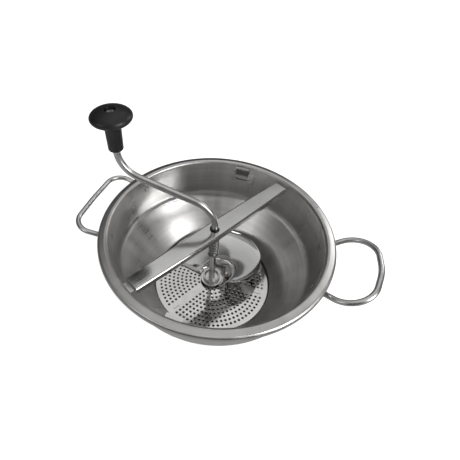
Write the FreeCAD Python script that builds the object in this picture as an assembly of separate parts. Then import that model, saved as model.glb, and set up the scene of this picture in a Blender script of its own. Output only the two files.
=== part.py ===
"""Rotary food mill (potato ricer): a rimmed conical bowl with a perforated disc,
a sprung crank with a press blade, a locking crossbar and a turning knob.

Frame: millimetres, +Z up, origin at the centre of the bowl's base ring, handles along X.
"""
import FreeCAD
import Part

import math
import os

from FreeCAD import Vector

# Bowl
RIM_RADIUS = 120.0
RIM_TOP = 99.5
RIM_WIDTH = 10.2
RIM_CROWN = 0.62
RIM_DROP = 1.4
RIM_DEPTH = 7.6
RIM_LIP = 6.0
SHEET = 0.9
BEND_RADIUS_IN = 103.3
BEND_HEIGHT = 52.5
BEND_ROUNDING = 20.0
WALL_TOP_RADIUS = RIM_RADIUS - RIM_WIDTH
WALL_SLOPE = math.atan2(WALL_TOP_RADIUS - BEND_RADIUS_IN, RIM_TOP + RIM_CROWN - BEND_HEIGHT)
SHEET_OUTSET = SHEET / math.cos(WALL_SLOPE)
COLLAR_RADIUS = 66.7
COLLAR_TOP = 11.2
LEDGE_TOP = 7.2
SPOUT_RADIUS = 60.5

# Perforated disc
DISC_RADIUS = 66.0
DISC_SHEET = 1.0
DISC_TOP = LEDGE_TOP + DISC_SHEET
DISC_BORE = 4.2
HOLE_RADIUS = 1.5
HOLE_PITCH = 4.9
RING_PITCH = 4.95
OUTER_RING = 59.6
INNER_RING = 14.5
RIB_COUNT = 3
RIB_AZIMUTH = 3.0
RIB_STRIPE = 5.4
RIB_INNER = 50.5
RIB_LENGTH = 8.0
RIB_WIDTH = 3.4
RIB_HEIGHT = 0.6

# Wire handles, bent in a plane that rises outwards
HANDLE_WIRE = 2.75
HANDLE_ROOT = 112.0
HANDLE_ROOT_Z = RIM_TOP - 14.0
HANDLES = {
    "handle_right": dict(
        side=1, root=29.5, corner=51.5, reach=150.6, bow=7.9, bend=24.0, rise=0.37, aside=1.8,
    ),
    "handle_left": dict(
        side=-1, root=43.5, corner=48.5, reach=144.6, bow=1.4, bend=17.5, rise=0.15, aside=0.0,
    ),
}

# Locking lugs inside the wall
LUG_AZIMUTHS = {"lug_rear": 90.0, "lug_front": 270.0}
LUG_SHEET = 1.0
LUG_REACH = 4.6
LUG_HOOD_TOP = RIM_TOP - 3.6
LUG_STRIP_TOP = RIM_TOP - 14.0
LUG_STRIP_BOTTOM = RIM_TOP - 19.0
LUG_ENTRY_FOOT = RIM_TOP - 25.0
LUG_STOP_FOOT = RIM_TOP - 21.0
LUG_ENTRY_ANGLE = -7.6
LUG_FOOT_ANGLE = -3.9
LUG_STOP_ANGLE = 4.3
LUG_END_ANGLE = 6.2

# Crossbar
BAR_AZIMUTH = 62.0
BAR_TOP = RIM_TOP - 3.0
BAR_SHEET = 1.2
BAR_HALF = 103.0
BAR_MID_WIDTH = 20.4
BAR_END_WIDTH = 17.0
BAR_FLANGE = 6.0
BAR_EDGE_RADIUS = 2.2
TONGUE_STEP = 2.5
TONGUE_RUN = 1.6
TONGUE_WIDTH = 12.4
TONGUE_TIP = 108.5

# Crank rod
ROD = 3.5
RUNNING = 0.05
CRANK_AZIMUTH = 186.0
CRANK_BEND = 30.0
CRANK_FOOT = DISC_TOP - 5.4
CRANK_ELBOW = RIM_TOP + 23.3
CRANK_REACH = 98.5
CRANK_SHOULDER_ELBOW = RIM_TOP + 54.5
CRANK_SHOULDER = RIM_TOP + 77.5
SPINDLE = 2.5
SPINDLE_TOP = RIM_TOP + 115.6
TAP_RADIUS = 2.0
TAP_DEPTH = 12.0

# Clips, washers and spring on the rod
CLIP_THICKNESS = 1.1
CLIP_OUTER = 5.1
CLIP_GROOVE = 2.9
CLIP_GAP_ANGLE = 70.0
CLIP_GAP_AZIMUTH = 56.0
WASHER = 1.0
WASHER_OUTER = 6.2
SPRING_FOOT = DISC_TOP + 50.0
SPRING_RADIUS = 5.0
SPRING_WIRE = 0.7
SPRING_TURNS = 8.5
STOP_OUTER = 4.7
PLAY = 0.1
STOP_TOP = SPRING_FOOT - WASHER - 2 * PLAY

# Press blade and its hub
BLADE_SHEET = 1.2
BLADE_RADIUS = 62.5
BLADE_LOW = 3.4
BLADE_HIGH = 25.5
BLADE_INNER = 9.8
BLADE_FLAT = 13.5
BLADE_SLOPE_RUN = 3.5
BLADE_SLOPE_GROWTH = 10.0
BLADE_TRAIL_AZIMUTH = 171.0
BLADE_TRAIL_OFFSET = 2.4
BLADE_LEAD_AZIMUTH = -28.0
BLADE_SWEEP_START = 27.0
BLADE_SWEEP = 1.85
BLADE_CORNER_TURN = 22.0
FLANGE_START = 41.0
LIP_RUN = 3.0
LIP_DROP = 1.7
FLANGE_RUN = 1.0
FLANGE_DROP = 4.2
FOLD_FADE = 6.0
BLADE_ROWS = 26
BLADE_COLUMNS = 34
HUB_RADIUS = 9.6
HUB_BOTTOM = 0.3
HUB_TOP = 8.6
HUB_FLANGE = 12.6
HUB_FLANGE_SHEET = 1.2
CUP_RADIUS = 8.0
CUP_FLOOR = 4.8

# Knob
KNOB_BOTTOM = RIM_TOP + 78.5
KNOB_TOP = RIM_TOP + 121.0
KNOB_HEAD_RADIUS = 19.5
KNOB_HEAD_HALF = 7.7
STEM_BOTTOM_RADIUS = 7.2
STEM_TOP_RADIUS = 8.0
STEM_EDGE = 1.6
RECESS_RADIUS = 5.2
SCREW_HEAD_RADIUS = 4.3
SCREW_HEAD = 2.2
SCREW_SLOT = 1.1
SCREW_SLOT_DEPTH = 0.9

UP = Vector(0, 0, 1)
ORIGIN = Vector(0, 0, 0)


def polar(radius, azimuth, z=0.0):
    angle = math.radians(azimuth)
    return Vector(radius * math.cos(angle), radius * math.sin(angle), z)


def turned(shape, azimuth):
    copy = shape.copy()
    copy.rotate(ORIGIN, UP, azimuth)
    return copy


def round_corner(before, corner, after, radius):
    """The two tangent points and the middle of the arc that rounds a corner."""
    to_before = (before - corner).normalize()
    to_after = (after - corner).normalize()
    half = to_before.getAngle(to_after) / 2
    reach = radius / math.tan(half)
    middle = (to_before + to_after).normalize()
    arc_middle = corner + middle * (radius / math.sin(half) - radius)
    return corner + to_before * reach, arc_middle, corner + to_after * reach


def rounded_edges(points, radii):
    """Straight runs through the points, joined by tangent arcs of the given radii."""
    edges = []
    start = points[0]
    for i in range(1, len(points) - 1):
        first, middle, last = round_corner(points[i - 1], points[i], points[i + 1], radii[i - 1])
        edges.append(Part.LineSegment(start, first).toShape())
        edges.append(Part.Arc(first, middle, last).toShape())
        start = last
    edges.append(Part.LineSegment(start, points[-1]).toShape())
    return edges


def offset_points(points, distance):
    """The same open outline in the XZ plane, moved to its right-hand side by a distance."""
    normals = []
    for a, b in zip(points, points[1:]):
        run = (b - a).normalize()
        normals.append(Vector(run.z, 0, -run.x))
    moved = [points[0] + normals[0] * distance]
    for i in range(1, len(points) - 1):
        mitre = normals[i - 1] + normals[i]
        moved.append(points[i] + mitre * (2 * distance / mitre.dot(mitre)))
    moved.append(points[-1] + normals[-1] * distance)
    return moved


def turns_left(a, b, c):
    return (b.x - a.x) * (c.z - b.z) - (b.z - a.z) * (c.x - b.x) > 0


def sheet_of_revolution(outline, radii, thickness):
    """A sheet turned about Z: the outline is its inner skin, and the thickness lies outside it."""
    skin = [Vector(r, 0, z) for r, z in outline]
    back = offset_points(skin, thickness)
    back_radii = []
    for i, radius in enumerate(radii):
        grows = turns_left(skin[i], skin[i + 1], skin[i + 2])
        back_radii.append(radius + thickness if grows else radius - thickness)
    edges = rounded_edges(skin, radii) + rounded_edges(back, back_radii)
    edges.append(Part.LineSegment(skin[0], back[0]).toShape())
    edges.append(Part.LineSegment(skin[-1], back[-1]).toShape())
    face = Part.Face(Part.Wire(Part.__sortEdges__(edges)))
    return face.revolve(ORIGIN, UP, 360)


def wire_rod(points, radii, radius):
    path = Part.Wire(rounded_edges(points, radii))
    start = Part.Circle(points[0], points[1] - points[0], radius)
    section = Part.Wire(start.toShape())
    return path.makePipeShell([section], True, False)


def ring(inner, outer, bottom, height):
    tube = Part.makeCylinder(outer, height, Vector(0, 0, bottom))
    return tube.cut(Part.makeCylinder(inner, height + 2, Vector(0, 0, bottom - 1)))


def wall_radius(z):
    """The inner radius of the steep upper wall at a height."""
    return BEND_RADIUS_IN + (z - BEND_HEIGHT) * math.tan(WALL_SLOPE)


def sector(outline, start, end):
    """A closed outline of radius and height, turned from one azimuth to another."""
    points = [Vector(r, 0, z) for r, z in outline]
    face = Part.Face(Part.makePolygon(points + points[:1]))
    return turned(face.revolve(ORIGIN, UP, end - start), start)


def make_bowl():
    outline = [
        (SPOUT_RADIUS, 0),
        (SPOUT_RADIUS, LEDGE_TOP),
        (COLLAR_RADIUS, LEDGE_TOP),
        (COLLAR_RADIUS, COLLAR_TOP),
        (BEND_RADIUS_IN, BEND_HEIGHT),
        (WALL_TOP_RADIUS, RIM_TOP + RIM_CROWN),
        (RIM_RADIUS, RIM_TOP - RIM_DROP),
        (RIM_RADIUS, RIM_TOP - RIM_DEPTH),
        (RIM_RADIUS - RIM_LIP, RIM_TOP - RIM_DEPTH),
    ]
    radii = [1.5, 0.5, 1.2, BEND_ROUNDING, 3.6, 3.6, 2.4]
    return sheet_of_revolution(outline, radii, SHEET)


def make_disc():
    blank = Part.makeCylinder(DISC_RADIUS, DISC_SHEET, Vector(0, 0, LEDGE_TOP))
    disc = blank.makeChamfer(0.3, blank.Edges[:1])
    loops = [Part.Wire(Part.Circle(Vector(0, 0, LEDGE_TOP - 1), UP, DISC_BORE).toShape())]
    step = 360.0 / RIB_COUNT
    rows = int((OUTER_RING - INNER_RING) / RING_PITCH) + 1
    for row in range(rows):
        radius = OUTER_RING - row * RING_PITCH
        margin = math.degrees((RIB_STRIPE / 2 + HOLE_RADIUS) / radius)
        room = step - 2 * margin
        count = int(math.radians(room) * radius / HOLE_PITCH) + 1
        for rib in range(RIB_COUNT):
            first = RIB_AZIMUTH + rib * step + margin
            for k in range(count):
                azimuth = first + room * (k + 0.5) / count
                centre = polar(radius, azimuth, LEDGE_TOP - 1)
                loops.append(Part.Wire(Part.Circle(centre, UP, HOLE_RADIUS).toShape()))
    punches = [Part.Face(loop).extrude(UP * (DISC_SHEET + 2)) for loop in loops]
    disc = disc.cut(Part.makeCompound(punches))
    for rib in range(RIB_COUNT):
        bar = Part.makeBox(RIB_LENGTH, RIB_WIDTH, RIB_HEIGHT + 0.2)
        bar.translate(Vector(RIB_INNER, -RIB_WIDTH / 2, DISC_TOP - 0.2))
        upright = [e for e in bar.Edges if abs(e.BoundBox.ZLength) > RIB_HEIGHT / 2]
        bar = bar.makeFillet(RIB_WIDTH * 0.45, upright)
        disc = disc.fuse(turned(bar, RIB_AZIMUTH + rib * step))
    return disc.removeSplitter()


def make_handle(side, root, corner, reach, bow, bend, rise, aside):
    """A wire loop whose legs end square on the outside of the wall."""
    def place(radial, tangential):
        z = HANDLE_ROOT_Z + (radial - HANDLE_ROOT) * rise
        return Vector(side * radial, side * tangential + aside, z)

    splay = (corner - root) / (reach - HANDLE_ROOT)
    inside = WALL_TOP_RADIUS - 12.0
    inside_half = root - (HANDLE_ROOT - inside) * splay
    points = [
        place(inside, inside_half),
        place(reach, corner),
        place(reach + bow, 0),
        place(reach, -corner),
        place(inside, -inside_half),
    ]
    flat = 60.0 if bow > 4 else 200.0
    loop = wire_rod(points, [bend, flat, bend], HANDLE_WIRE)
    low = BEND_HEIGHT
    body = Part.makeCone(wall_radius(low) + SHEET_OUTSET, wall_radius(RIM_TOP) + SHEET_OUTSET, RIM_TOP - low,
                         Vector(0, 0, low))
    return loop.cut(body)


def make_lug(azimuth):
    """A welded bracket: a hood over the bar's tongue, a stop cheek, and a strip with two feet."""
    def plate(start, end, bottom, top):
        lower = wall_radius(bottom)
        upper = wall_radius(top)
        corners = [(lower, bottom), (upper, top), (upper - LUG_SHEET, top), (lower - LUG_SHEET, bottom)]
        return sector(corners, start, end)

    def shelf(start, end, bottom, top):
        lower = wall_radius(bottom)
        upper = wall_radius(top)
        inner = wall_radius(LUG_HOOD_TOP) - LUG_REACH
        return sector([(inner, bottom), (lower, bottom), (upper, top), (inner, top)], start, end)

    cheek_end = LUG_STOP_ANGLE + math.degrees(LUG_SHEET / WALL_TOP_RADIUS)
    hood = shelf(LUG_FOOT_ANGLE, cheek_end, LUG_HOOD_TOP - LUG_SHEET, LUG_HOOD_TOP)
    cheek = shelf(LUG_STOP_ANGLE, cheek_end, LUG_STRIP_BOTTOM, LUG_HOOD_TOP)
    strip = plate(LUG_ENTRY_ANGLE, LUG_END_ANGLE, LUG_STRIP_BOTTOM, LUG_STRIP_TOP)
    entry_foot = plate(LUG_ENTRY_ANGLE, LUG_FOOT_ANGLE, LUG_ENTRY_FOOT, LUG_STRIP_TOP + 4.0)
    stop_foot = plate(LUG_STOP_ANGLE, LUG_END_ANGLE, LUG_STOP_FOOT, LUG_STRIP_TOP + 4.0)
    bracket = hood.multiFuse([cheek, strip, entry_foot, stop_foot])
    return turned(bracket.removeSplitter(), azimuth)


def bar_plan(half_length, extra, z):
    """The bar's outline seen from above, wider in the middle, grown sideways by extra."""
    end = BAR_END_WIDTH / 2 + extra
    middle = BAR_MID_WIDTH / 2 + extra
    far = Part.Arc(Vector(-half_length, end, z), Vector(0, middle, z), Vector(half_length, end, z))
    near = Part.Arc(Vector(half_length, -end, z), Vector(0, -middle, z), Vector(-half_length, -end, z))
    right = Part.LineSegment(Vector(half_length, end, z), Vector(half_length, -end, z))
    left = Part.LineSegment(Vector(-half_length, -end, z), Vector(-half_length, end, z))
    return Part.Face(Part.Wire([e.toShape() for e in (far, right, near, left)]))


def make_crossbar():
    channel = bar_plan(BAR_HALF, 0, BAR_TOP - BAR_FLANGE).extrude(UP * BAR_FLANGE)
    long_edges = [
        e for e in channel.Edges
        if e.BoundBox.ZMin > BAR_TOP - 0.01 and e.BoundBox.XLength > BAR_HALF
    ]
    channel = channel.makeFillet(BAR_EDGE_RADIUS, long_edges)
    hollow = bar_plan(BAR_HALF + 5, -BAR_SHEET, BAR_TOP - BAR_FLANGE - 1)
    channel = channel.cut(hollow.extrude(UP * (BAR_FLANGE + 1 - BAR_SHEET)))
    tongue_top = BAR_TOP - TONGUE_STEP
    side = [
        (BAR_HALF - 2, BAR_TOP),
        (BAR_HALF, BAR_TOP),
        (BAR_HALF + TONGUE_RUN, tongue_top),
        (TONGUE_TIP + 1, tongue_top),
        (TONGUE_TIP + 1, tongue_top - BAR_SHEET),
        (BAR_HALF + TONGUE_RUN - 0.6, tongue_top - BAR_SHEET),
        (BAR_HALF - 0.6, BAR_TOP - BAR_SHEET),
        (BAR_HALF - 2, BAR_TOP - BAR_SHEET),
    ]
    points = [Vector(x, -TONGUE_WIDTH / 2, z) for x, z in side]
    tongue = Part.Face(Part.makePolygon(points + points[:1])).extrude(Vector(0, TONGUE_WIDTH, 0))
    reach = Part.makeCylinder(TONGUE_TIP, BAR_FLANGE + 4, Vector(0, 0, BAR_TOP - BAR_FLANGE - 2))
    tongue = tongue.common(reach)
    bar = channel.multiFuse([tongue, turned(tongue, 180)])
    bore = Part.makeCylinder(ROD + RUNNING, BAR_FLANGE + 2, Vector(0, 0, BAR_TOP - BAR_FLANGE - 1))
    return turned(bar.cut(bore).removeSplitter(), BAR_AZIMUTH)


def make_crank_rod():
    def place(reach, z):
        return polar(reach, CRANK_AZIMUTH, z)

    points = [
        place(0, CRANK_FOOT),
        place(0, CRANK_ELBOW),
        place(CRANK_REACH, CRANK_SHOULDER_ELBOW),
        place(CRANK_REACH, CRANK_SHOULDER),
    ]
    rod = wire_rod(points, [CRANK_BEND, CRANK_BEND], ROD)
    spindle = Part.makeCylinder(SPINDLE, SPINDLE_TOP - CRANK_SHOULDER, place(CRANK_REACH, CRANK_SHOULDER))
    tap = Part.makeCylinder(TAP_RADIUS, TAP_DEPTH, place(CRANK_REACH, SPINDLE_TOP - TAP_DEPTH))
    rod = rod.fuse(spindle).cut(tap)
    for bottom in (BAR_TOP + PLAY, STOP_TOP - CLIP_THICKNESS):
        rod = rod.cut(ring(CLIP_GROOVE, ROD + 1, bottom, CLIP_THICKNESS))
    tip = [e for e in rod.Edges if e.BoundBox.ZMax < CRANK_FOOT + 0.01]
    return rod.makeFillet(1.2, tip)


def make_clip(outer, top, gap_azimuth):
    """A split ring that sits in a groove of the rod."""
    clip = ring(CLIP_GROOVE + 0.02, outer, top - CLIP_THICKNESS, CLIP_THICKNESS)
    wedge = sector([(0.5, top - CLIP_THICKNESS - 1), (outer + 2, top - CLIP_THICKNESS - 1),
                    (outer + 2, top + 1), (0.5, top + 1)], -CLIP_GAP_ANGLE / 2, CLIP_GAP_ANGLE / 2)
    clip = clip.cut(turned(wedge, gap_azimuth))
    rims = [e for e in clip.Edges if e.Length > outer * 2.5]
    return clip.makeFillet(0.45, rims)


def make_spring():
    top = BAR_TOP - BAR_SHEET - WASHER - 2 * PLAY
    low = SPRING_FOOT + SPRING_WIRE
    height = top - SPRING_WIRE - low
    helix = Part.makeHelix(height / SPRING_TURNS, height, SPRING_RADIUS)
    helix.translate(Vector(0, 0, low))
    start = Part.Circle(Vector(SPRING_RADIUS, 0, low), Vector(0, 1, 0), SPRING_WIRE)
    return Part.Wire(helix.Edges).makePipeShell([Part.Wire(start.toShape())], True, True)


def blade_height(share, radius):
    """The blade's top above the disc: it climbs from the trailing edge to the leading edge."""
    climb = 1 - (1 - share) ** 1.4
    t = (radius - BLADE_FLAT) / (BLADE_SLOPE_RUN + BLADE_SLOPE_GROWTH * climb)
    t = min(max(t, 0.0), 1.0)
    return BLADE_LOW + (BLADE_HIGH - BLADE_LOW) * climb * t * t * (3 - 2 * t)


def blade_point(share, radius):
    """A point of the blade's top between its straight trailing edge and its swept, rounded leading edge."""
    trailing = BLADE_TRAIL_AZIMUTH - math.degrees(math.asin(BLADE_TRAIL_OFFSET / radius))
    past = max(0.0, radius - BLADE_SWEEP_START)
    rounding = BLADE_CORNER_TURN * (past / (BLADE_RADIUS - BLADE_SWEEP_START)) ** 14
    leading = BLADE_LEAD_AZIMUTH + BLADE_SWEEP * past + rounding
    azimuth = trailing + (leading - trailing) * share
    return polar(radius, azimuth, DISC_TOP + blade_height(share, radius))


def ruled(first, second):
    return Part.makeLoft([Part.Wire(first), Part.Wire(second)], False, True).Faces[0]


def folded_edge(points, beside, weights, run, drop):
    """The edge through the points, moved outwards and down, where the weights allow it to drop."""
    moved = []
    for p, q, weight in zip(points, beside, weights):
        away = Vector(p.x - q.x, p.y - q.y, 0).normalize()
        moved.append(p + away * run - UP * (drop * weight))
    curve = Part.BSplineCurve()
    curve.interpolate(moved)
    return curve.toShape()


def blade_skin(rows, lip_weights, flange_weights):
    """One side of the blade: its faces, its two folded edges, and the other edges of its outline."""
    skin = Part.BSplineSurface()
    skin.interpolate(rows)
    low_u, high_u, low_v, high_v = skin.bounds()
    trailing = skin.uIso(low_u).toShape()
    leading = skin.uIso(high_u).toShape()
    lip = folded_edge(rows[0], rows[1], lip_weights, LIP_RUN, LIP_DROP)
    flange = folded_edge(rows[-1], rows[-2], flange_weights, FLANGE_RUN, FLANGE_DROP)
    faces = [skin.toShape(), ruled(trailing, lip), ruled(leading, flange)]
    outline = [lip, flange, skin.vIso(low_v).toShape(), skin.vIso(high_v).toShape()]
    for edge, fold in ((trailing, lip), (leading, flange)):
        for start, end in zip(edge.Vertexes, fold.Vertexes):
            outline.append(Part.LineSegment(start.Point, end.Point).toShape())
    return faces, outline


def make_blade():
    """A curved sheet through a grid of points, with its two radial edges folded down."""
    span = BLADE_RADIUS - BLADE_INNER
    radii = [BLADE_RADIUS - span * (1 - k / BLADE_COLUMNS) ** 1.5 for k in range(BLADE_COLUMNS + 1)]
    upper = [[blade_point(k / BLADE_ROWS, r) for r in radii] for k in range(BLADE_ROWS + 1)]
    lower = []
    for i, row in enumerate(upper):
        before, after = upper[max(i - 1, 0)], upper[min(i + 1, BLADE_ROWS)]
        lower.append([])
        for j, point in enumerate(row):
            across = row[min(j + 1, BLADE_COLUMNS)] - row[max(j - 1, 0)]
            normal = across.cross(before[j] - after[j]).normalize()
            lower[-1].append(point - normal * BLADE_SHEET)
    lip_weights = [min(1.0, max(0.0, (r - BLADE_FLAT) / FOLD_FADE)) for r in radii]
    flange_weights = [min(1.0, max(0.0, (r - FLANGE_START) / FOLD_FADE + 1)) for r in radii]
    top_faces, top_outline = blade_skin(upper, lip_weights, flange_weights)
    under_faces, under_outline = blade_skin(lower, lip_weights, flange_weights)
    sides = [ruled(a, b) for a, b in zip(top_outline, under_outline)]
    sheet = Part.Compound(top_faces + under_faces + sides)
    sheet.sewShape()
    return Part.makeSolid(sheet.Shells[0])


def make_hub():
    base = DISC_TOP
    body = Part.makeCylinder(HUB_RADIUS, HUB_TOP - HUB_BOTTOM, Vector(0, 0, base + HUB_BOTTOM))
    flange = Part.makeCylinder(HUB_FLANGE, HUB_FLANGE_SHEET, Vector(0, 0, base + BLADE_LOW))
    cup = Part.makeCylinder(CUP_RADIUS, HUB_TOP, Vector(0, 0, base + CUP_FLOOR))
    hub = body.fuse(flange).cut(cup)
    brim = [
        e for e in hub.Edges
        if e.BoundBox.ZMin > base + HUB_TOP - 0.01 or abs(e.BoundBox.XMax - HUB_FLANGE) < 0.01 and e.Closed
    ]
    hub = hub.makeFillet(0.5, brim)
    return hub.cut(Part.makeCylinder(ROD, HUB_TOP, Vector(0, 0, base)))


def make_knob():
    """A mushroom head on a tapered stem, bored for the spindle and recessed for the screw."""
    middle = KNOB_TOP - KNOB_HEAD_HALF
    head = Part.makeSphere(1.0)
    squash = FreeCAD.Matrix()
    squash.scale(KNOB_HEAD_RADIUS, KNOB_HEAD_RADIUS, KNOB_HEAD_HALF)
    head = head.transformGeometry(squash)
    head.translate(Vector(0, 0, middle))
    stem = Part.makeCone(STEM_BOTTOM_RADIUS, STEM_TOP_RADIUS, middle - KNOB_BOTTOM, Vector(0, 0, KNOB_BOTTOM))
    foot = [e for e in stem.Edges if e.BoundBox.ZMax < KNOB_BOTTOM + 0.01]
    knob = head.fuse(stem.makeFillet(STEM_EDGE, foot))
    seam = [
        e for e in knob.Edges
        if KNOB_BOTTOM + 5 < e.BoundBox.ZMin and e.BoundBox.ZMax < middle and e.BoundBox.ZLength < 0.5
    ]
    knob = knob.makeFillet(2.0, seam)
    bore = Part.makeCylinder(SPINDLE + RUNNING, SPINDLE_TOP - KNOB_BOTTOM + 1, Vector(0, 0, KNOB_BOTTOM - 1))
    recess = Part.makeCylinder(RECESS_RADIUS, KNOB_TOP, Vector(0, 0, SPINDLE_TOP - PLAY))
    knob = knob.cut(bore).cut(recess)
    knob.translate(polar(CRANK_REACH, CRANK_AZIMUTH))
    return knob


def make_knob_screw():
    seat = SPINDLE_TOP + 0.6
    shank = Part.makeCylinder(TAP_RADIUS, TAP_DEPTH - 1, Vector(0, 0, seat - TAP_DEPTH + 1))
    head = Part.makeCylinder(SCREW_HEAD_RADIUS, SCREW_HEAD, Vector(0, 0, seat))
    crown = [e for e in head.Edges if e.BoundBox.ZMin > seat + SCREW_HEAD - 0.01]
    head = head.makeFillet(SCREW_HEAD * 0.45, crown)
    for angle in (0, 90):
        slot = Part.makeBox(SCREW_HEAD_RADIUS * 1.1, SCREW_SLOT, SCREW_SLOT_DEPTH + 1)
        floor = seat + SCREW_HEAD - SCREW_SLOT_DEPTH
        slot.translate(Vector(-SCREW_HEAD_RADIUS * 0.55, -SCREW_SLOT / 2, floor))
        head = head.cut(turned(slot, angle))
    screw = head.fuse(shank).removeSplitter()
    screw.translate(polar(CRANK_REACH, CRANK_AZIMUTH))
    return screw


def make_washer(inner, outer, bottom, height, reach=0.0):
    washer = ring(inner, outer, bottom, height)
    washer.translate(polar(reach, CRANK_AZIMUTH))
    return washer


def save(name, shape):
    if not shape.isValid():
        print("not valid:", name)
    shape.exportStep(os.path.join("parts", name + ".step"))


os.makedirs("parts", exist_ok=True)

save("bowl", make_bowl())
for handle_name, dimensions in HANDLES.items():
    save(handle_name, make_handle(**dimensions))
for lug_name, lug_azimuth in LUG_AZIMUTHS.items():
    save(lug_name, make_lug(lug_azimuth))
save("milling_disc", make_disc())

save("crossbar", make_crossbar())
bar_underside = BAR_TOP - BAR_SHEET
save("upper_spring_washer", make_washer(ROD + RUNNING, WASHER_OUTER, bar_underside - WASHER - PLAY, WASHER))
save("pressure_spring", make_spring())
save("lower_spring_washer", make_washer(ROD + RUNNING, WASHER_OUTER, SPRING_FOOT - WASHER - PLAY, WASHER))

save("crank_rod", make_crank_rod())
save("retaining_clip", make_clip(CLIP_OUTER, BAR_TOP + PLAY + CLIP_THICKNESS, CLIP_GAP_AZIMUTH))
save("spring_stop_clip", make_clip(STOP_OUTER, STOP_TOP, CLIP_GAP_AZIMUTH + 180))
save("press_blade", make_blade())
save("blade_hub", make_hub())
save("hub_washer", make_washer(ROD, CUP_RADIUS - 1.2, DISC_TOP + CUP_FLOOR, WASHER))

save("knob_body", make_knob())
save("knob_screw", make_knob_screw())
screw_washer = make_washer(TAP_RADIUS + RUNNING, RECESS_RADIUS - 0.4, SPINDLE_TOP, 0.6, CRANK_REACH)
save("knob_screw_washer", screw_washer)
save("knob_foot_washer", make_washer(SPINDLE, SPINDLE + 2.6, CRANK_SHOULDER, 0.8, CRANK_REACH))
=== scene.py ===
"""Looks for a rotary food mill: spun and polished steel, wire handles, a black knob.

Lengths are metres in the CAD row frame: +Z up, origin at the centre of the bowl's base ring.
"""

import math

import bmesh
import bpy
from mathutils import Matrix, Vector, noise


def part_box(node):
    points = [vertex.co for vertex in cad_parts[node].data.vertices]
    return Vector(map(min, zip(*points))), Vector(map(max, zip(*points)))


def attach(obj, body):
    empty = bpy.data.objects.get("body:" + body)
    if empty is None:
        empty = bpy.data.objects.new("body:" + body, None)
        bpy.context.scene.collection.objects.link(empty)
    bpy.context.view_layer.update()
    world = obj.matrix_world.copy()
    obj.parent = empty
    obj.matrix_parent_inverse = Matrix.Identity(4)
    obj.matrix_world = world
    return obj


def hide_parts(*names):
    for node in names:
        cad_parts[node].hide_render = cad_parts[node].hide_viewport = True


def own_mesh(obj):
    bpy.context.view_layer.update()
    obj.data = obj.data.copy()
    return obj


MM = 0.001

# Camera, fitted to the photograph
CAMERA_PLACE = (0.0726, -0.2533, 0.3857)
CAMERA_RIGHT = (0.92374, 0.38282, -0.01317)
CAMERA_UP = (-0.25282, 0.63515, 0.72985)
CAMERA_LENS = 29.53
CAMERA_SHIFT = (0.1043, -0.0696)

# Bowl profile, inner skin from the spout up and over the rim: radius, height, then each corner's radius
SHEET = 0.9 * MM
WALL_LEAN = 0.1365
BOWL_PROFILE = (
    (60.5, 0, 0), (60.5, 7.2, 1.5), (66.7, 7.2, 0.5), (66.7, 11.2, 1.2), (103.3, 52.5, 20.0),
    (109.8, 100.12, 3.6), (120.0, 98.1, 3.6), (120.0, 91.9, 2.4), (114.0, 91.9, 0),
)

# Handles: side, half width at the wall and at the corner, reach, bow, bend radius, rise, aside
WALL_OUTSIDE = 108.4 * MM
HANDLE_ROOT_RADIUS = 112.0 * MM
HANDLE_ROOT_Z = 85.5 * MM
HANDLE_WIRE = 2.75 * MM
SIDES = 40
HANDLES = {
    "handle_right": (1, 29.5, 51.5, 150.6, 7.9, 24.0, 0.37, 1.8),
    "handle_left": (-1, 43.5, 48.5, 144.6, 1.4, 17.5, 0.15, 0.0),
}

# Crank: reach and height of each corner, and the rod's own sizes
CRANK_AZIMUTH = math.radians(186)
CRANK_CORNERS = ((0, 2.8), (0, 122.8), (98.5, 154.0), (98.5, 177.0))
CRANK_BEND = 30.0 * MM
ROD = 3.5 * MM
SPINDLE = 2.5 * MM
SPINDLE_TOP = 215.1 * MM

# Spring between the bar and the shaft's lower clip
SPRING_RADIUS = 5.0 * MM
SPRING_WIRE = 0.7 * MM
SPRING_TURNS = 8.5
SPRING_STEPS = 36
SPRING_FOOT = 58.2 * MM
SPRING_TOP = 94.1 * MM

# Crossbar: half length, half widths at the middle and the ends, and its section
BAR_AZIMUTH = math.radians(62)
BAR_TOP = 96.5 * MM
BAR_HALF = 103.0 * MM
BAR_WIDTHS = (10.2 * MM, 8.5 * MM)
BAR_FLANGE = 6.0 * MM
BAR_SHEET = 1.2 * MM
BAR_EDGE = 2.2 * MM
TONGUE_WIDTH = 12.4 * MM
TONGUE_TIP = 108.5 * MM
TONGUE_STEP = 2.5 * MM
TONGUE_RUN = 1.6 * MM

# Lugs: where they stand, their spot welds and the painted shade behind their hoods, on the inner skin
LUG_AZIMUTHS = (90, 270)
LUG_WELD_RADIUS = 0.1045
LUG_WELD_HEIGHT = 79 * MM
LUG_WELD_SWINGS = (-5.6, 5.2)
LUG_SHADE_HEIGHT = 87 * MM
INNER_SKIN = (96.8 * MM, 96.4 * MM)

# Weld beads round the handles' feet, and weld drops on the hub's flange
BEAD_RADIUS = 3.0 * MM
BEAD_THICK = 0.8 * MM
BEAD_STANDOFF = 0.5
DISC_TOP = 8.2 * MM
HUB_FLANGE = 12.6 * MM
HUB_WELD_AZIMUTHS = (40, 100, 165)
HUB_WELD_RISE = 4.3 * MM
HUB_WELD_SIZE = (1.1 * MM, 2.6 * MM, 0.8 * MM)

# World light from below (0) to above (1), and the plain backdrop that only the camera sees
WORLD_TONES = ((0.42, 0.36), (0.5, 0.06), (0.6, 0.05), (0.7, 0.07), (0.85, 0.14), (0.93, 0.45))
WORLD_ENDS = (0.42, 0.8)
BACKDROP = 0.9


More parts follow.
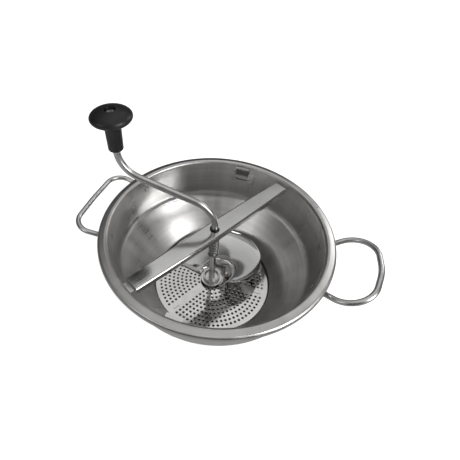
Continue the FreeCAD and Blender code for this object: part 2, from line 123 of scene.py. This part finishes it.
class Graph:
    """A material's node tree, with short calls for the nodes that the materials share."""

    def __init__(self, name, **sockets):
        self.material = bpy.data.materials.new(name)
        self.material.use_nodes = True
        self.tree = self.material.node_tree
        self.shader = self.tree.nodes["Principled BSDF"]
        self.set(self.shader, sockets)
        self.place = self.node("ShaderNodeTexCoord").outputs["Object"]

    def set(self, node, values):
        for key, value in values.items():
            socket = node.inputs[key.replace("_", " ") if isinstance(key, str) else key]
            if isinstance(value, bpy.types.NodeSocket):
                self.tree.links.new(value, socket)
            else:
                socket.default_value = value

    def node(self, kind, values=None, **settings):
        made = self.tree.nodes.new(kind)
        for key, value in settings.items():
            setattr(made, key, value)
        self.set(made, values or {})
        return made

    def math(self, operation, a, b=0.0, c=0.0):
        return self.node("ShaderNodeMath", {0: a, 1: b, 2: c}, operation=operation).outputs[0]

    def sum(self, *values):
        total = values[0]
        for value in values[1:]:
            total = self.math("ADD", total, value)
        return total

    def product(self, *values):
        total = values[0]
        for value in values[1:]:
            total = self.math("MULTIPLY", total, value)
        return total

    def between(self, value, low, high, to_low=0.0, to_high=1.0):
        """Maps low..high to to_low..to_high with soft ends."""
        made = self.node(
            "ShaderNodeMapRange",
            {"Value": value, "From Min": low, "From Max": high, "To Min": to_low, "To Max": to_high},
            interpolation_type="SMOOTHSTEP",
        )
        return made.outputs["Result"]

    def noise(self, vector, scale, detail=2.0, roughness=0.5):
        values = {"Vector": vector, "Scale": scale, "Detail": detail, "Roughness": roughness}
        return self.node("ShaderNodeTexNoise", values).outputs["Fac"]

    def stretched(self, scale, turn=0.0):
        """The place, turned about Z and then scaled along each axis."""
        turned = self.node("ShaderNodeMapping", {"Vector": self.place, "Rotation": (0, 0, turn)})
        scaled = self.node("ShaderNodeMapping", {"Vector": turned.outputs[0], "Scale": scale})
        return scaled.outputs[0]

    def parts(self):
        return self.node("ShaderNodeSeparateXYZ", {0: self.place}).outputs

    def joined(self, x, y, z):
        return self.node("ShaderNodeCombineXYZ", {0: x, 1: y, 2: z}).outputs[0]

    def radius(self, centre=(0.0, 0.0)):
        """Distance from an upright axis."""
        x, y, _ = self.parts()
        dx = self.math("SUBTRACT", x, centre[0])
        dy = self.math("SUBTRACT", y, centre[1])
        squares = [self.math("MULTIPLY", d, d) for d in (dx, dy)]
        return self.math("SQRT", self.math("ADD", *squares))

    def around(self, turns, rise, spread):
        """Polar place about Z: turns sets the detail round it, rise that along z, spread that outwards."""
        x, y, z = self.parts()
        radius = self.radius()
        along = self.math("ADD", self.math("MULTIPLY", z, rise), self.math("MULTIPLY", radius, spread))
        circle = [self.math("MULTIPLY", self.math("DIVIDE", v, radius), turns) for v in (x, y)]
        return self.joined(circle[0], circle[1], along)

    def distance(self, point):
        made = self.node("ShaderNodeVectorMath", {0: self.place, 1: point}, operation="DISTANCE")
        return made.outputs["Value"]

    def mixed(self, share, first, second):
        made = self.node("ShaderNodeMix", data_type="RGBA")
        for socket, value in zip((made.inputs[0], made.inputs[6], made.inputs[7]), (share, first, second)):
            if isinstance(value, bpy.types.NodeSocket):
                self.tree.links.new(value, socket)
            else:
                socket.default_value = value
        return made.outputs[2]

    def bump(self, height, distance, strength=1.0, under=None):
        made = self.node("ShaderNodeBump", {"Height": height, "Distance": distance, "Strength": strength})
        if under is not None:
            self.tree.links.new(under, made.inputs["Normal"])
        return made.outputs["Normal"]

    def turned_grain(self):
        """Grain that runs round Z, for spun and turned metal."""
        made = self.node("ShaderNodeTangent", direction_type="RADIAL", axis="Z")
        self.tree.links.new(made.outputs[0], self.shader.inputs["Tangent"])


def grey(value, warmth=0.0):
    return (value * (1 + warmth), value, value * (1 - warmth), 1.0)


def spot(g, point, size):
    """1 at the middle of a round mark, 0 outside it."""
    return g.between(g.distance(point), size, size * 0.45)


def bowl_steel():
    """Spun satin steel: fine rings, soft streaks up the wall, weld marks behind the handles, painted shade
    behind the lug hoods and in the crease of the disc's seat.
    """
    g = Graph("bowl_steel", Metallic=1.0, Anisotropic=0.72)
    g.turned_grain()
    fine = g.noise(g.around(1.6, 900, 600), 1.0, 3.0, 0.6)
    rings = g.noise(g.around(0.7, 190, 120), 1.0, 2.0, 0.5)
    streaks = g.noise(g.around(9.0, 7, 5), 1.0, 3.0, 0.55)
    clouds = g.noise(g.place, 16.0, 3.0, 0.5)
    marks = 0.0
    for place, _ in handle_feet():
        marks = g.math("ADD", spot(g, place, 5.5 * MM), marks)
    for azimuth in LUG_AZIMUTHS:
        for swing in LUG_WELD_SWINGS:
            angle = math.radians(azimuth + swing)
            place = (LUG_WELD_RADIUS * math.cos(angle), LUG_WELD_RADIUS * math.sin(angle), LUG_WELD_HEIGHT)
            marks = g.math("ADD", spot(g, place, 6 * MM), marks)
    tone = g.math("MULTIPLY_ADD", streaks, 0.5, g.math("MULTIPLY", rings, 0.5))
    colour = g.mixed(g.between(tone, 0.25, 0.75), grey(0.5, 0.02), grey(0.66, 0.014))
    colour = g.mixed(g.math("MULTIPLY", marks, 0.35), colour, grey(0.26, 0.06))
    x, _, z = g.parts()
    # Painted shade: the inner wall behind each lug's hood is darkened nearly to black, where the hood
    # shades it.
    inside = g.between(g.math("MULTIPLY_ADD", z, -WALL_LEAN, g.radius()), *INNER_SKIN)
    height = g.math("ABSOLUTE", g.math("SUBTRACT", z, LUG_SHADE_HEIGHT))
    lug_painted_shade = g.product(
        inside,
        g.between(g.math("ABSOLUTE", x), 8.5 * MM, 7.5 * MM),
        g.between(height, 10 * MM, 8 * MM),
    )
    colour = g.mixed(g.math("MULTIPLY", lug_painted_shade, 0.85), colour, grey(0.09, 0.05))
    # Painted shade: a dark ring in the crease of the collar step where the disc sits.
    seat_painted_shade = g.product(
        g.between(g.radius(), 67.5 * MM, 67.0 * MM),
        g.between(g.radius(), 59.8 * MM, 60.2 * MM),
        g.between(z, 6 * MM, 7 * MM),
    )
    g.set(g.shader, {"Base Color": g.mixed(g.math("MULTIPLY", seat_painted_shade, 0.8), colour, grey(0.1, 0.04))})
    rough = g.sum(
        g.between(fine, 0.2, 0.8, 0.0, 0.08),
        g.between(streaks, 0.3, 0.7, 0.0, 0.06),
        g.between(clouds, 0.3, 0.7, 0.23, 0.28),
    )
    normal = g.bump(fine, 0.000004)
    normal = g.bump(rings, 0.000008, 1.0, normal)
    g.set(g.shader, {"Roughness": rough, "Normal": g.bump(marks, -0.00008, 1.0, normal)})
    return g.material


def rolled_steel(name, turn, low, high, tones, wear):
    """Bright sheet with its rolling grain along one direction, faint stains and scratches."""
    g = Graph(name, Metallic=1.0)
    grain = g.noise(g.stretched((25, 1400, 300), -turn), 1.0, 3.0, 0.6)
    stains = g.noise(g.place, 34.0, 4.0, 0.55)
    scratch = g.noise(g.stretched((90, 2600, 90), -turn + 0.5), 1.0, 2.0, 0.5)
    scratches = g.math("MULTIPLY", g.between(scratch, 0.66, 0.76), wear)
    tone = g.math("MULTIPLY_ADD", grain, 0.45, g.math("MULTIPLY", stains, 0.55))
    g.set(g.shader, {
        "Base Color": g.mixed(g.between(tone, 0.3, 0.7), grey(tones[0], 0.01), grey(tones[1], 0.006)),
        "Roughness": g.sum(g.between(grain, 0.25, 0.75, low, high), g.math("MULTIPLY", scratches, 0.12)),
        "Normal": g.bump(g.sum(grain, scratches), 0.000008),
    })
    return g.material


def disc_steel():
    """Bright disc with the fine rings that the blade has rubbed into it."""
    g = Graph("disc_steel", Metallic=1.0, Anisotropic=0.35)
    g.turned_grain()
    rings = g.noise(g.around(0.8, 0, 900), 1.0, 2.0, 0.6)
    rubbed = g.between(g.noise(g.around(2.2, 0, 260), 1.0, 2.0, 0.5), 0.52, 0.7)
    stains = g.noise(g.place, 40.0, 4.0, 0.55)
    dish = g.noise(g.place, 22.0, 1.0, 0.4)
    g.set(g.shader, {
        "Base Color": g.mixed(g.between(stains, 0.3, 0.7), grey(0.57, 0.015), grey(0.67, 0.01)),
        "Roughness": g.sum(g.between(rings, 0.3, 0.7, 0.07, 0.12), g.math("MULTIPLY", rubbed, 0.09)),
        "Normal": g.bump(dish, 0.00025, 1.0, g.bump(rings, 0.000002)),
    })
    return g.material


def blade_steel():
    """Polished pressing with a slightly wavy skin and dull, tinted metal where the hub is welded."""
    g = Graph("blade_steel", Metallic=1.0)
    waves = g.noise(g.place, 30.0, 2.0, 0.4)
    drag = g.noise(g.around(2.0, 60, 900), 1.0, 2.0, 0.5)
    radius = g.radius()
    weld = g.between(g.sum(radius, g.math("MULTIPLY", waves, 0.006)), 0.0215, 0.016)
    polish = g.mixed(g.between(drag, 0.3, 0.7), grey(0.62, 0.008), grey(0.66, 0.006))
    g.set(g.shader, {
        "Base Color": g.mixed(g.math("MULTIPLY", weld, 0.5), polish, grey(0.5, 0.04)),
        "Roughness": g.sum(g.between(drag, 0.3, 0.75, 0.08, 0.11), g.math("MULTIPLY", weld, 0.12)),
        "Normal": g.bump(waves, 0.00022, 1.0, g.bump(drag, 0.000002)),
    })
    return g.material


def wire_steel(name, low, high):
    """Drawn and polished wire: small pits, faint dull patches."""
    g = Graph(name, Metallic=1.0)
    patches = g.noise(g.place, 60.0, 3.0, 0.5)
    drawn = g.noise(g.place, 900.0, 2.0, 0.5)
    pits = g.between(g.noise(g.place, 420.0, 1.0, 0.5), 0.7, 0.8)
    g.set(g.shader, {
        "Base Color": g.mixed(g.between(patches, 0.3, 0.7), grey(low, 0.01), grey(high, 0.006)),
        "Roughness": g.sum(g.between(patches, 0.3, 0.7, 0.24, 0.31), g.math("MULTIPLY", drawn, 0.05)),
        "Normal": g.bump(g.math("SUBTRACT", g.math("MULTIPLY", drawn, 0.4), pits), 0.000005),
    })
    return g.material


def weld_steel():
    """Rough weld metal, brown and blue grey where it was hot."""
    g = Graph("weld_steel", Metallic=1.0)
    lumps = g.noise(g.place, 500.0, 3.0, 0.6)
    tint = g.noise(g.place, 180.0, 2.0, 0.5)
    g.set(g.shader, {
        "Base Color": g.mixed(g.between(tint, 0.35, 0.65), (0.3, 0.27, 0.24, 1), (0.36, 0.37, 0.4, 1)),
        "Roughness": g.between(lumps, 0.3, 0.7, 0.3, 0.48),
        "Normal": g.bump(lumps, 0.00015),
    })
    return g.material


def black_clip():
    """Blackened spring steel, rubbed brighter in places."""
    g = Graph("black_clip", Metallic=0.85)
    rub = g.between(g.noise(g.place, 700.0, 3.0, 0.6), 0.52, 0.68)
    grit = g.noise(g.place, 2400.0, 2.0, 0.5)
    g.set(g.shader, {
        "Base Color": g.mixed(g.math("MULTIPLY", rub, 0.35), grey(0.018), grey(0.3)),
        "Roughness": g.between(grit, 0.3, 0.7, 0.26, 0.42),
        "Normal": g.bump(grit, 0.00001),
    })
    return g.material


def knob_black(centre, seam_z):
    """Moulded black plastic: fine pebble, a faint parting line, a palm-polished crown."""
    g = Graph("knob_black", Specular_IOR_Level=0.5)
    pebble = g.noise(g.place, 2600.0, 2.0, 0.6)
    patches = g.noise(g.place, 130.0, 3.0, 0.5)
    z = g.parts()[2]
    seam = g.between(g.math("ABSOLUTE", g.math("SUBTRACT", z, seam_z)), 0.0004, 0.0001)
    crown = g.between(g.radius(centre), 0.018, 0.008)
    worn = g.math("MULTIPLY", crown, g.between(patches, 0.3, 0.7))
    dust = g.between(g.noise(g.place, 900.0, 2.0, 0.5), 0.62, 0.75)
    dark = g.mixed(g.between(patches, 0.3, 0.7), grey(0.0075), grey(0.0125))
    g.set(g.shader, {
        "Base Color": g.mixed(g.math("MULTIPLY", dust, 0.12), dark, grey(0.09)),
        "Roughness": g.sum(g.between(pebble, 0.3, 0.7, 0.36, 0.46), g.math("MULTIPLY", worn, -0.08)),
        "Normal": g.bump(seam, -0.0001, 1.0, g.bump(pebble, 0.000035)),
    })
    return g.material


def floor_white():
    """Matt pale paper with a barely visible tooth, glowing evenly white, with a painted shadow under the
    bowl where the glow fades and the paper turns dark.
    """
    g = Graph("floor_white", Roughness=0.9, Specular_IOR_Level=0.1)
    tooth = g.noise(g.place, 40.0, 3.0, 0.5)
    # Painted shadow: under the bowl the floor's glow fades out and its colour goes dark.
    g.set(g.shader, {"Emission Strength": g.between(g.radius(), 0.06, 0.085, 0.0, 0.75)})
    paper_with_painted_shadow = g.mixed(g.between(g.radius(), 0.06, 0.08), grey(0.05), g.mixed(tooth, grey(0.9), grey(0.93)))
    g.set(g.shader, {"Base Color": paper_with_painted_shadow, "Emission Color": (1, 1, 1, 1), "Normal": g.bump(tooth, 0.0001)})
    return g.material


def coat(material, *names):
    for name in names:
        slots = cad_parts[name].data.materials
        slots.clear()
        slots.append(material)


def mesh_piece(name, build, material, body):
    """A mesh made by build(bmesh), smooth shaded, riding on a CAD body."""
    mesh = bpy.data.meshes.new(name)
    work = bmesh.new()
    build(work)
    bmesh.ops.recalc_face_normals(work, faces=work.faces)
    work.to_mesh(mesh)
    work.free()
    mesh.polygons.foreach_set("use_smooth", [True] * len(mesh.polygons))
    mesh.materials.append(material)
    piece = bpy.data.objects.new(name, mesh)
    bpy.context.scene.collection.objects.link(piece)
    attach(piece, body)
    return piece


def rounded_path(points, radii):
    """The points with each corner rounded by an arc of its radius, in steps of a few degrees."""
    path = [points[0]]
    for before, corner, after, radius in zip(points, points[1:], points[2:], radii):
        if radius <= 0:
            path.append(corner)
            continue
        back = (before - corner).normalized()
        ahead = (after - corner).normalized()
        half = back.angle(ahead) / 2
        sweep = math.pi - 2 * half
        middle = corner + (back + ahead).normalized() * (radius / math.sin(half))
        start = corner + back * (radius / math.tan(half)) - middle
        axis = back.cross(ahead).normalized()
        steps = max(4, int(math.degrees(sweep) / 3))
        for k in range(steps + 1):
            path.append(middle + Matrix.Rotation(-sweep * k / steps, 3, axis) @ start)
    path.append(points[-1])
    return path


def skin(work, loops, closed_along=False, caps=False):
    """Faces between neighbouring closed loops of points."""
    rings = [[work.verts.new(point) for point in loop] for loop in loops]
    count = len(rings[0])
    pairs = list(zip(rings, rings[1:]))
    if closed_along:
        pairs.append((rings[-1], rings[0]))
    for a, b in pairs:
        for j in range(count):
            k = (j + 1) % count
            work.faces.new((a[j], b[j], b[k], a[k]))
    if caps:
        work.faces.new(rings[0])
        work.faces.new(rings[-1][::-1])


def tube(path, radii):
    """A round rod along a path, with a radius at each point."""
    def build(work):
        side = (path[1] - path[0]).normalized().orthogonal()
        loops = []
        for i, point in enumerate(path):
            along = (path[min(i + 1, len(path) - 1)] - path[max(i - 1, 0)]).normalized()
            side = (side - along * side.dot(along)).normalized()
            up = along.cross(side)
            turns = [2 * math.pi * j / SIDES for j in range(SIDES)]
            loops.append([point + (side * math.cos(t) + up * math.sin(t)) * radii[i] for t in turns])
        skin(work, loops, caps=True)
    return build


def make_bowl(material):
    """The bowl turned as one fine sheet, inner and outer skin."""
    points = [Vector((r, 0, z)) * MM for r, z, _ in BOWL_PROFILE]
    radii = [radius * MM for _, _, radius in BOWL_PROFILE[1:-1]]
    inner = rounded_path(points, radii)
    outer = []
    for i, point in enumerate(inner):
        along = (inner[min(i + 1, len(inner) - 1)] - inner[max(i - 1, 0)]).normalized()
        outer.append(point + Vector((along.z, 0, -along.x)) * SHEET)
    section = []
    for first, second in zip(inner + outer[::-1], (inner + outer[::-1])[1:]):
        steps = max(1, int((second - first).length / (3 * MM)))
        section.extend(first.lerp(second, k / steps) for k in range(steps))
    section.append(outer[0])

    def build(work):
        turns = 288
        loops = []
        for i in range(turns):
            spin = Matrix.Rotation(2 * math.pi * i / turns, 3, "Z")
            loops.append([spin @ point for point in section])
        skin(work, loops, closed_along=True)
    piece = mesh_piece("bowl_skin", build, material, "bowl")
    crisp_edges(piece, 50)
    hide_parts("bowl")


def bore(piece, radius, low, high):
    """An upright hole on the axis, cut through the piece, whose own shells are joined on the way."""
    work = bmesh.new()
    turns = [math.tau * j / SIDES for j in range(SIDES)]
    skin(work, [
        [Vector((radius * math.cos(t), radius * math.sin(t), z)) for t in turns] for z in (low, high)
    ], caps=True)
    bmesh.ops.recalc_face_normals(work, faces=work.faces)
    drill = bpy.data.objects.new("drill", bpy.data.meshes.new("drill"))
    work.to_mesh(drill.data)
    work.free()
    bpy.context.scene.collection.objects.link(drill)
    cut = piece.modifiers.new("bore", "BOOLEAN")
    cut.object = drill
    cut.solver = "EXACT"
    cut.use_self = True
    bpy.context.view_layer.update()
    bored = bpy.data.meshes.new_from_object(piece.evaluated_get(bpy.context.evaluated_depsgraph_get()))
    piece.modifiers.clear()
    piece.data = bored
    bpy.data.objects.remove(drill)


def crisp_edges(piece, degrees):
    """Keeps the edges sharper than an angle from being shaded round."""
    mesh = piece.data
    work = bmesh.new()
    work.from_mesh(mesh)
    for edge in work.edges:
        edge.smooth = len(edge.link_faces) == 2 and edge.calc_face_angle() < math.radians(degrees)
    work.to_mesh(mesh)
    work.free()


def handle_corners(side, root, corner, reach, bow, rise, aside):
    """The corners of a handle's wire, from one foot on the wall to the other."""
    splay = (corner - root) * MM / (reach * MM - HANDLE_ROOT_RADIUS)
    foot = math.sqrt(WALL_OUTSIDE ** 2 - (root * MM) ** 2)
    foot_half = root * MM - (HANDLE_ROOT_RADIUS - foot) * splay

    def place(radial, across):
        z = HANDLE_ROOT_Z + (radial - HANDLE_ROOT_RADIUS) * rise
        return Vector((side * radial, side * across + aside * MM, z))
    return [
        place(foot, foot_half),
        place(reach * MM, corner * MM),
        place((reach + bow) * MM, 0),
        place(reach * MM, -corner * MM),
        place(foot, -foot_half),
    ]


def handle_feet():
    """Where each handle leg meets the wall, and the way the leg runs from there."""
    feet = []
    for side, root, corner, reach, bow, _, rise, aside in HANDLES.values():
        corners = handle_corners(side, root, corner, reach, bow, rise, aside)
        feet.append((corners[0], corners[1] - corners[0]))
        feet.append((corners[-1], corners[-2] - corners[-1]))
    return feet


def make_handles(material):
    """Each handle's wire, with its two ends cut to lie on the outside of the wall."""
    for name, (side, root, corner, reach, bow, bend, rise, aside) in HANDLES.items():
        flat = (60 if bow > 4 else 200) * MM
        corners = handle_corners(side, root, corner, reach, bow, rise, aside)
        path = rounded_path(corners, [bend * MM, flat, bend * MM])
        build = tube(path, [HANDLE_WIRE] * len(path))
        piece = mesh_piece(name + "_wire", build, material, "bowl")
        vertices = piece.data.vertices
        for end, run in ((vertices[:SIDES], path[0] - path[1]), (vertices[-SIDES:], path[-1] - path[-2])):
            for vertex in end:
                vertex.co = landed(vertex.co, run.normalized())
        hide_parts(name)


def landed(point, run):
    """The point slid along a run until it is on the outside of the wall."""
    a = run.x ** 2 + run.y ** 2
    b = point.x * run.x + point.y * run.y
    c = point.x ** 2 + point.y ** 2 - WALL_OUTSIDE ** 2
    return point + run * ((-b - math.sqrt(b * b - a * c)) / a)


def make_crank(material):
    """The bent rod with its rounded foot, its shoulder and the thin spindle inside the knob."""
    out = Vector((math.cos(CRANK_AZIMUTH), math.sin(CRANK_AZIMUTH), 0))
    corners = [out * (reach * MM) + Vector((0, 0, z * MM)) for reach, z in CRANK_CORNERS]
    path = rounded_path(corners, [CRANK_BEND, CRANK_BEND])
    up = Vector((0, 0, MM))
    top = corners[-1]
    tip = Vector((top.x, top.y, SPINDLE_TOP))
    path = [path[0], path[0] + up * 0.4, path[0] + up * 1.2] + path[1:-1] + [top - up * 0.4, top, top, tip]
    radii = [ROD - 1.2 * MM, ROD - 0.4 * MM] + [ROD] * (len(path) - 6)
    radii += [ROD, ROD - 0.4 * MM, SPINDLE, SPINDLE]
    # A point that repeats the one before it is moved up a little, so that the tube keeps its direction
    for i in range(1, len(path)):
        if (path[i] - path[i - 1]).length < 1e-6:
            path[i] = path[i] + up * 0.02
    piece = mesh_piece("crank_rod_bent", tube(path, radii), material, "crank")
    crisp_edges(piece, 35)
    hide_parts("crank_rod")


def make_spring(material):
    """The coil spring, from its foot up to the bar, as a mesh of its own."""
    low, high = SPRING_FOOT + SPRING_WIRE, SPRING_TOP - SPRING_WIRE
    steps = int(SPRING_TURNS * SPRING_STEPS)
    path = []
    for k in range(steps + 1):
        turn = math.tau * SPRING_TURNS * k / steps
        z = low + (high - low) * k / steps
        path.append(Vector((SPRING_RADIUS * math.cos(turn), SPRING_RADIUS * math.sin(turn), z)))
    build = tube(path, [SPRING_WIRE] * len(path))
    piece = mesh_piece("spring_coil", build, material, "mechanism")
    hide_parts("pressure_spring")
    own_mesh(piece)


def bar_section(half_width, along):
    """The channel's closed outline at a place along the bar: outside down, inside back up."""
    low = BAR_TOP - BAR_FLANGE
    outside = [Vector((along, -half_width, low)), Vector((along, -half_width, BAR_TOP)),
               Vector((along, half_width, BAR_TOP)), Vector((along, half_width, low))]
    inside = half_width - BAR_SHEET
    under = [Vector((along, inside, low)), Vector((along, inside, BAR_TOP - BAR_SHEET)),
             Vector((along, -inside, BAR_TOP - BAR_SHEET)), Vector((along, -inside, low))]
    return rounded_path(outside, [BAR_EDGE, BAR_EDGE]) + rounded_path(under, [0.4 * MM, 0.4 * MM])


def make_crossbar(material):
    """The pressed channel, widest at the middle, with a stepped tongue at each end."""
    spin = Matrix.Rotation(BAR_AZIMUTH, 3, "Z")
    middle, end = BAR_WIDTHS

    def build(work):
        steps = 64
        loops = []
        for k in range(steps + 1):
            share = 2 * k / steps - 1
            width = middle + (end - middle) * share * share
            loops.append([spin @ p for p in bar_section(width, BAR_HALF * share)])
        skin(work, loops, caps=True)
        drop = BAR_TOP - TONGUE_STEP
        run = BAR_HALF + TONGUE_RUN
        top = [(BAR_HALF - 2 * MM, BAR_TOP), (BAR_HALF, BAR_TOP), (run, drop), (TONGUE_TIP, drop)]
        bottom = [(x - (0.6 * MM if BAR_HALF <= x <= run else 0), z - BAR_SHEET) for x, z in top[::-1]]
        for side in (1, -1):
            skin(work, [
                [spin @ Vector((side * x, across, z)) for x, z in top + bottom]
                for across in (-TONGUE_WIDTH / 2, TONGUE_WIDTH / 2)
            ], caps=True)
    piece = mesh_piece("crossbar_channel", build, material, "crossbar")
    bore(piece, ROD + 0.05 * MM, BAR_TOP - 2 * BAR_SHEET, BAR_TOP + BAR_SHEET)
    crisp_edges(piece, 25)
    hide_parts("crossbar")


def weld_ring(centre, along, radius, thick, seed):
    """A lumpy bead of weld round a wire where it meets a wall."""
    def build(work):
        steps, sides = 40, 10
        upright = along.to_track_quat("Z", "Y").to_matrix()
        loops = []
        for i in range(steps):
            turn = 2 * math.pi * i / steps
            out = Vector((math.cos(turn), math.sin(turn), 0))
            swell = 1 + 0.35 * noise.noise(Vector((3 * out.x + seed, 3 * out.y, 0.5)))
            loop = []
            for j in range(sides):
                angle = 2 * math.pi * j / sides
                local = out * (radius + thick * swell * math.cos(angle))
                local += Vector((0, 0, thick * swell * math.sin(angle)))
                loop.append(centre + upright @ local)
            loops.append(loop)
        skin(work, loops, closed_along=True)
    return build


def weld_blob(centre, size, turn, seed):
    """A low, uneven drop of weld."""
    def build(work):
        bmesh.ops.create_icosphere(work, subdivisions=3, radius=1.0)
        spin = Matrix.Rotation(turn, 3, "Z")
        for vertex in work.verts:
            lump = 1 + 0.18 * noise.noise(vertex.co * 2.3 + Vector((seed, 0, 0)))
            local = Vector(c * s for c, s in zip(vertex.co * lump, size))
            vertex.co = centre + spin @ local
    return build


def add_welds(material):
    """Beads where the handles' legs meet the wall, and drops between the blade and its hub."""
    for count, (place, along) in enumerate(handle_feet()):
        outward = Vector((place.x, place.y, 0)).normalized()
        lean = (along.normalized() + outward).normalized()
        centre = place + along.normalized() * BEAD_STANDOFF * MM
        build = weld_ring(centre, lean, BEAD_RADIUS, BEAD_THICK, count)
        mesh_piece(f"handle_weld_{count}", build, material, "bowl")
    for count, azimuth in enumerate(HUB_WELD_AZIMUTHS):
        angle = math.radians(azimuth)
        height = DISC_TOP + HUB_WELD_RISE
        centre = Vector((HUB_FLANGE * math.cos(angle), HUB_FLANGE * math.sin(angle), height))
        build = weld_blob(centre, HUB_WELD_SIZE, angle, count)
        mesh_piece(f"hub_weld_{count}", build, material, "crank")


def softbox(name, azimuth, elevation, distance, size, power):
    """A rectangular light that faces the bowl from a direction."""
    light = bpy.data.lights.new(name, "AREA")
    light.shape = "RECTANGLE"
    light.size, light.size_y = size
    light.energy = power
    a, e = math.radians(azimuth), math.radians(elevation)
    back = Vector((math.cos(a) * math.cos(e), math.sin(a) * math.cos(e), math.sin(e)))
    lamp = bpy.data.objects.new(name, light)
    lamp.location = Vector((0, 0, 0.06)) + back * distance
    lamp.rotation_euler = back.to_track_quat("Z", "Y").to_euler()
    lamp.visible_camera = False
    bpy.context.scene.collection.objects.link(lamp)


def add_stage():
    bpy.ops.mesh.primitive_plane_add(size=8.0)
    floor = bpy.context.object
    floor.name = "floor"
    floor.data.materials.append(floor_white())
    floor.visible_glossy = False

    world = bpy.data.worlds.new("studio")
    bpy.context.scene.world = world
    world.use_nodes = True
    tree = world.node_tree
    direction = tree.nodes.new("ShaderNodeTexCoord")
    split = tree.nodes.new("ShaderNodeSeparateXYZ")
    tree.links.new(direction.outputs["Generated"], split.inputs[0])
    height = tree.nodes.new("ShaderNodeMapRange")
    height.inputs["From Min"].default_value = -1.0
    tree.links.new(split.outputs["Z"], height.inputs["Value"])
    ramp = tree.nodes.new("ShaderNodeValToRGB")
    tree.links.new(height.outputs[0], ramp.inputs["Fac"])
    tones = ramp.color_ramp.elements
    tones[0].position, tones[0].color = 0.0, grey(WORLD_ENDS[0])
    tones[1].position, tones[1].color = 1.0, grey(WORLD_ENDS[1])
    for position, value in WORLD_TONES:
        tones.new(position).color = grey(value)
    seen = tree.nodes.new("ShaderNodeLightPath")
    backdrop = tree.nodes.new("ShaderNodeMix")
    backdrop.data_type = "RGBA"
    tree.links.new(seen.outputs["Is Camera Ray"], backdrop.inputs[0])
    tree.links.new(ramp.outputs[0], backdrop.inputs[6])
    backdrop.inputs[7].default_value = grey(BACKDROP)
    tree.links.new(backdrop.outputs[2], tree.nodes["Background"].inputs["Color"])

    softbox("key_right", -18, 27, 1.4, (0.5, 1.0), 11.0)
    softbox("fill_left", -124, 32, 1.5, (0.6, 0.5), 2.2)
    softbox("rim_back", 56, 28, 1.5, (0.5, 0.6), 3.0)
    softbox("top_back", 104, 52, 1.4, (1.0, 0.7), 0.95)


def add_camera():
    camera = bpy.data.objects.new("camera", bpy.data.cameras.new("camera"))
    right, up = Vector(CAMERA_RIGHT), Vector(CAMERA_UP)
    turn = Matrix((right, up, right.cross(up))).transposed()
    camera.rotation_euler = turn.to_euler()
    camera.location = CAMERA_PLACE
    camera.data.lens = CAMERA_LENS
    camera.data.sensor_width = 36
    camera.data.shift_x, camera.data.shift_y = CAMERA_SHIFT
    bpy.context.scene.collection.objects.link(camera)
    bpy.context.scene.camera = camera
    bpy.context.scene.view_settings.view_transform = "Standard"


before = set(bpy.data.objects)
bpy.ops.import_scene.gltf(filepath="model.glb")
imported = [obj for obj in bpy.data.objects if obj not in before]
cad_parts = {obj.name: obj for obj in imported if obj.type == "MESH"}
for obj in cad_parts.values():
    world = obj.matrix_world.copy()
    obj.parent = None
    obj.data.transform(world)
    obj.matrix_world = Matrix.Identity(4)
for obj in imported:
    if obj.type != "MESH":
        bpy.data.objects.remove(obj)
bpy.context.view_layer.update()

add_camera()
add_stage()

knob_low, knob_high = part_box("knob_body")
knob_middle = (knob_low + knob_high) / 2
wire = wire_steel("wire_steel", 0.56, 0.68)
make_bowl(bowl_steel())
make_handles(wire)
make_crank(wire)
make_crossbar(rolled_steel("bar_steel", BAR_AZIMUTH, 0.1, 0.2, (0.56, 0.66), 0.6))
coat(wire, "hub_washer", "knob_screw", "knob_screw_washer", "knob_foot_washer")
# Painted shade: a darker copy of the wire steel for the spring and its washers, which sit in the shade
# under the bar.
shaded_wire = wire_steel("shaded_spring_steel", 0.3, 0.42)
make_spring(shaded_wire)
coat(shaded_wire, "upper_spring_washer", "lower_spring_washer")
coat(rolled_steel("bracket_steel", 0.0, 0.14, 0.24, (0.62, 0.74), 1.0), "lug_rear", "lug_front")
coat(disc_steel(), "milling_disc")
coat(blade_steel(), "press_blade", "blade_hub")
coat(black_clip(), "retaining_clip", "spring_stop_clip")
coat(knob_black(knob_middle[:2], knob_high.z - 7.7 * MM), "knob_body")
add_welds(weld_steel())
